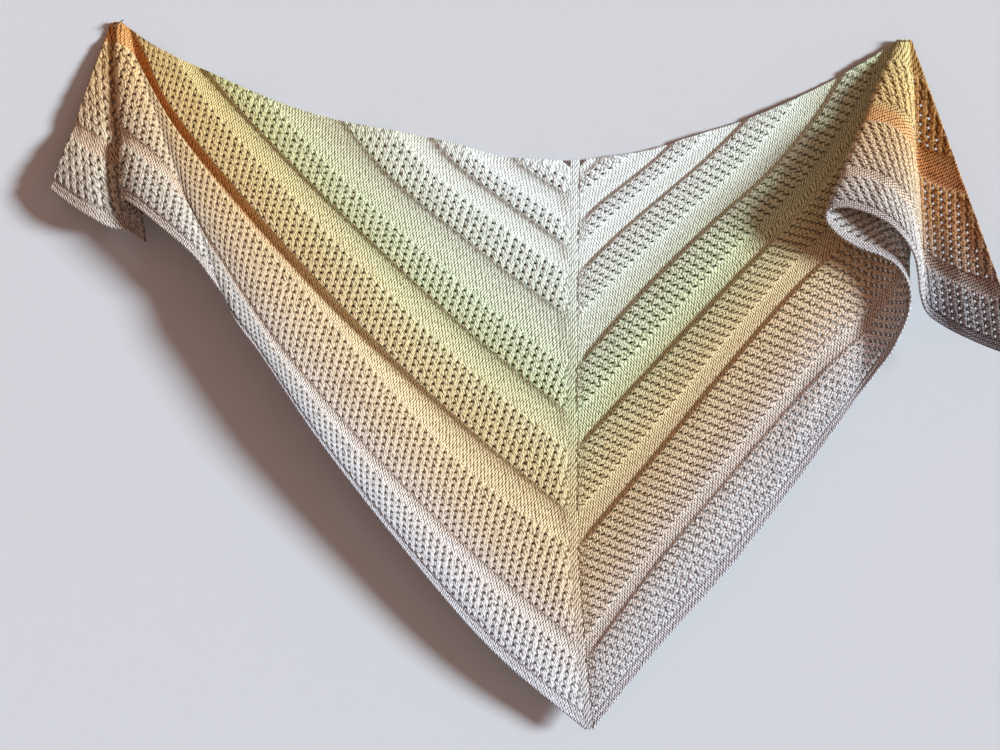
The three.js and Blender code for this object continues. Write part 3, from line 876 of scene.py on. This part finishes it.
def yarn_material():
    """Soft marled yarn whose colour runs from cream through green and peach to lilac grey; painted shade
    lies in its gaps, near the pins and on the right tail.
    """
    g = Graph("marled_yarn")
    along, down = g.map_parts("knit")
    v, kind = g.map_parts("place")
    tail_shade, near_pin_shade = g.map_parts("out")
    plain = g.maths("GREATER_THAN", kind, 0.5)
    waver = g.noise(g.pair(g.maths("MULTIPLY", along, 1.7), g.maths("MULTIPLY", down, 1.7)), 1.0)
    waver = g.maths("SUBTRACT", waver, 0.5)

    # Each knitted row runs a little ahead of or behind the gradient
    row = g.maths("FLOOR", g.maths("MULTIPLY", down, 3.0))
    streak = g.noise(g.pair(g.maths("MULTIPLY", along, 0.12), g.maths("MULTIPLY", row, 3.7)), 1.0)
    at = g.maths("ADD", v, g.maths("MULTIPLY_ADD", streak, 0.10, -0.05))
    # Painted shade near the pins also takes the colour a little further down the gradient
    at = g.maths("MULTIPLY_ADD", near_pin_shade, 0.03, at)
    ramp = g.add("ShaderNodeValToRGB", {0: at})
    stops = ramp.color_ramp.elements
    for k, (position, *colour) in enumerate(YARN):
        stop = stops[k] if k < 2 else stops.new(position)
        stop.position = position
        stop.color = opaque(colour)
    colour = ramp.outputs[0]
    # Painted shade near the pins: a warm tint, orange-brown in the long smooth trough
    trough = g.maths("MULTIPLY", g.span(v, 0.60, 0.63, 0.0, 1.0), g.span(v, 0.70, 0.80, 1.0, 0.3))
    pin_shade_tint = g.mix(g.maths("MULTIPLY", plain, trough), opaque(PIN_SHADE_WARM), opaque(TROUGH_SHADE))
    colour = g.mix(near_pin_shade, colour, g.mix(1.0, colour, pin_shade_tint, "MULTIPLY"))
    # Painted shade on the right tail: browner above, greyer below
    shade = g.mix(g.span(v, 0.74, 0.90, 0.0, 1.0), opaque(TAIL_SHADE_BROWN), opaque(TAIL_SHADE_GREY))
    colour = g.mix(tail_shade, colour, g.mix(1.0, colour, shade, "MULTIPLY"))

    # Stitches: puffed and uneven in the mesh, finer and more even in smooth knitting, with painted shade
    # in the creases between them
    wales = g.maths("MULTIPLY", along, g.lerp(plain, 3.0, 4.0))
    rows = g.maths("MULTIPLY", down, g.lerp(plain, 3.0, 1.7))
    stitch_at = g.pair(g.maths("ADD", wales, waver), g.maths("MULTIPLY_ADD", wales, 0.5, rows))
    puffs = g.add("ShaderNodeTexVoronoi", {
        "Vector": stitch_at, "Scale": 1.0, "Randomness": g.lerp(plain, 0.65, 0.2),
    }, voronoi_dimensions="2D")
    apart = puffs.outputs["Distance"]
    mesh_crease = g.span(apart, 0.40, 0.70, 1.0, 0.1)
    crease = g.lerp(plain, mesh_crease, g.span(apart, 0.30, 0.56, 1.0, 0.0))

    # Painted shade in long, bent gaps that run through each eyelet of the mesh
    bend = g.maths("SINE", g.maths("MULTIPLY", down, 2 * math.pi))
    bent = g.maths("MULTIPLY_ADD", bend, 0.13, g.maths("MULTIPLY_ADD", waver, 0.35, along))
    across = g.fold(bent)
    beyond = g.maths("MULTIPLY", g.fold(down), 0.17)
    squares = g.maths("ADD", g.maths("MULTIPLY", across, across), g.maths("MULTIPLY", beyond, beyond))
    from_eyelet = g.maths("SQRT", squares)
    gap = g.lerp(plain, g.span(from_eyelet, 0.12, 0.38, 0.0, 1.0), 1.0)

    # Paler and darker plies, and painted shade between the stitches that shows less near the top edge
    darkest, palest = g.lerp(plain, 0.78, 0.92), g.lerp(plain, 1.06, 1.14)
    ply = g.span(g.noise(stitch_at, 1.6, 3.0), 0.35, 0.65, darkest, palest)
    # The painted shade: the yarn's colour squared and darkened, laid in the creases and gaps
    depth = g.lerp(plain, 0.30, 0.17)
    painted_gap_shade = g.mix(1.0, g.mix(1.0, colour, colour, "MULTIPLY"), depth, "MULTIPLY")
    colour = g.mix(1.0, colour, ply, "MULTIPLY")
    faint = g.span(v, 0.14, 0.36, 0.36, 0.0)
    colour = g.mix(g.lerp(g.maths("MULTIPLY", crease, gap), faint, 1.0), painted_gap_shade, colour)

    puff = g.maths("MULTIPLY_ADD", g.maths("MULTIPLY", apart, apart), -2.2, 1.0)
    height = g.maths("MULTIPLY", puff, g.lerp(plain, 1.0, 0.75))
    height = g.maths("MULTIPLY_ADD", g.noise(stitch_at, 5.0, 3.0), 0.5, height)
    bump = g.add("ShaderNodeBump", {"Strength": 1.0, "Distance": 0.0011, "Height": height})

    shader = g.add("ShaderNodeBsdfPrincipled", {
        "Base Color": colour, "Roughness": 0.9, "Normal": bump.outputs[0],
        "Sheen Weight": 0.3, "Sheen Roughness": 0.5, "Specular IOR Level": 0.2,
    })
    return g.finish(shader)


def steel_material():
    """Drawn steel wire, finely scratched and slightly dulled."""
    g = Graph("pin_steel")
    place = g.add("ShaderNodeTexCoord").outputs["Object"]
    scratch = g.noise(place, 900.0, 3.0)
    dull = g.noise(place, 160.0, 2.0)
    colour = g.mix(dull, opaque((0.62, 0.61, 0.58)), opaque((0.46, 0.44, 0.40)))
    roughness = g.add("ShaderNodeMapRange", {0: dull, 3: 0.28, 4: 0.45}).outputs[0]
    bump = g.add("ShaderNodeBump", {"Strength": 0.25, "Distance": 0.0001, "Height": scratch})
    shader = g.add("ShaderNodeBsdfPrincipled", {
        "Base Color": colour, "Metallic": 1.0, "Roughness": roughness, "Normal": bump.outputs[0],
    })
    return g.finish(shader)


def wall_material():
    """Matt paint, seen from the room only: from behind the wall is clear."""
    g = Graph("wall_paint")
    place = g.add("ShaderNodeTexCoord").outputs["Object"]
    roller = g.noise(place, 260.0, 3.0)
    bump = g.add("ShaderNodeBump", {"Strength": 0.12, "Distance": 0.0004, "Height": roller})
    paint = g.add("ShaderNodeBsdfPrincipled", {
        "Base Color": opaque((0.775, 0.775, 0.78)), "Roughness": 0.85, "Normal": bump.outputs[0],
    })
    clear = g.add("ShaderNodeBsdfTransparent")
    behind = g.add("ShaderNodeNewGeometry").outputs["Backfacing"]
    shader = g.add("ShaderNodeMixShader", {0: behind, 1: paint.outputs[0], 2: clear.outputs[0]})
    return g.finish(shader)


def sheet_plane(name, centre, half_u, half_v, material):
    """A flat stage plane through centre, spanned by two half sides."""
    turns = ((-1, -1), (1, -1), (1, 1), (-1, 1))
    corners = [centre + half_u * u + half_v * v for u, v in turns]
    mesh = bpy.data.meshes.new(name)
    mesh.from_pydata([tuple(c) for c in corners], [], [(0, 1, 2, 3)])
    mesh.materials.append(material)
    plane = bpy.data.objects.new(name, mesh)
    bpy.context.collection.objects.link(plane)
    return plane


# The room, in metres
CAMERA_SENSOR = 36      # but this in millimetres
CAMERA_AWAY = 4.0       # from the wall
VIEW_WIDTH = 1.4        # of wall across the picture
VIEW_CENTRE = (0.5334, -0.490)   # across and up
ROOM_CENTRE = 0.58
ROOM_HALF_WIDTH = 3.5
WALL_MIDDLE = -0.3
WALL_HALF_HEIGHT = 2.2
FLOOR_LEVEL = -1.9
FLOOR_HALF_DEPTH = 2.5
SKY_COLOUR = (1.0, 0.60, 0.46, 1)   # the room's own light, which the shadows show
SKY_STRENGTH = 0.39
WINDOW_COLOUR = (0.77, 0.90, 1.0)   # daylight from the right
WINDOW_ENERGY = 6.4
WINDOW_SPREAD = 13      # degrees
WINDOW_TRAVEL = (-1.73, 1.0, -0.12)   # the way that its light goes


def add_camera():
    data = bpy.data.cameras.new("camera")
    data.sensor_width = CAMERA_SENSOR
    data.lens = CAMERA_SENSOR * CAMERA_AWAY / VIEW_WIDTH
    camera = bpy.data.objects.new("camera", data)
    camera.location = (VIEW_CENTRE[0], -CAMERA_AWAY, VIEW_CENTRE[1])
    camera.rotation_euler = (math.radians(90), 0, 0)
    bpy.context.collection.objects.link(camera)
    bpy.context.scene.camera = camera


def add_stage():
    wall = wall_material()
    aside = Vector((ROOM_HALF_WIDTH, 0, 0))
    wall_centre = Vector((ROOM_CENTRE, 0, WALL_MIDDLE))
    floor_centre = Vector((ROOM_CENTRE, -FLOOR_HALF_DEPTH, FLOOR_LEVEL))
    sheet_plane("wall", wall_centre, aside, Vector((0, 0, WALL_HALF_HEIGHT)), wall)
    sheet_plane("floor", floor_centre, aside, Vector((0, FLOOR_HALF_DEPTH, 0)), wall)
    world = bpy.data.worlds.new("room")
    world.use_nodes = True
    sky = world.node_tree.nodes["Background"]
    sky.inputs["Color"].default_value = SKY_COLOUR
    sky.inputs["Strength"].default_value = SKY_STRENGTH
    bpy.context.scene.world = world
    window = bpy.data.lights.new("window", "SUN")
    window.energy = WINDOW_ENERGY
    window.angle = math.radians(WINDOW_SPREAD)
    window.color = WINDOW_COLOUR
    lamp = bpy.data.objects.new("window", window)
    lamp.rotation_euler = Vector(WINDOW_TRAVEL).to_track_quat("-Z", "Y").to_euler()
    bpy.context.collection.objects.link(lamp)
    bpy.context.scene.view_settings.view_transform = "Standard"


add_camera()
add_stage()

yarn = yarn_material()
knit = {"spine_panel": spine_piece(), **half_pieces(LEFT), **half_pieces(RIGHT)}
for name, piece in knit.items():
    piece.data.materials.append(yarn)
    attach(piece, "root")
    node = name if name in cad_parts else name.rsplit("_", 1)[0]
    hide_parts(node)

steel = steel_material()
for name in ("pin_left", "pin_right"):
    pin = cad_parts[name]
    for material_slot in pin.material_slots:
        material_slot.material = steel
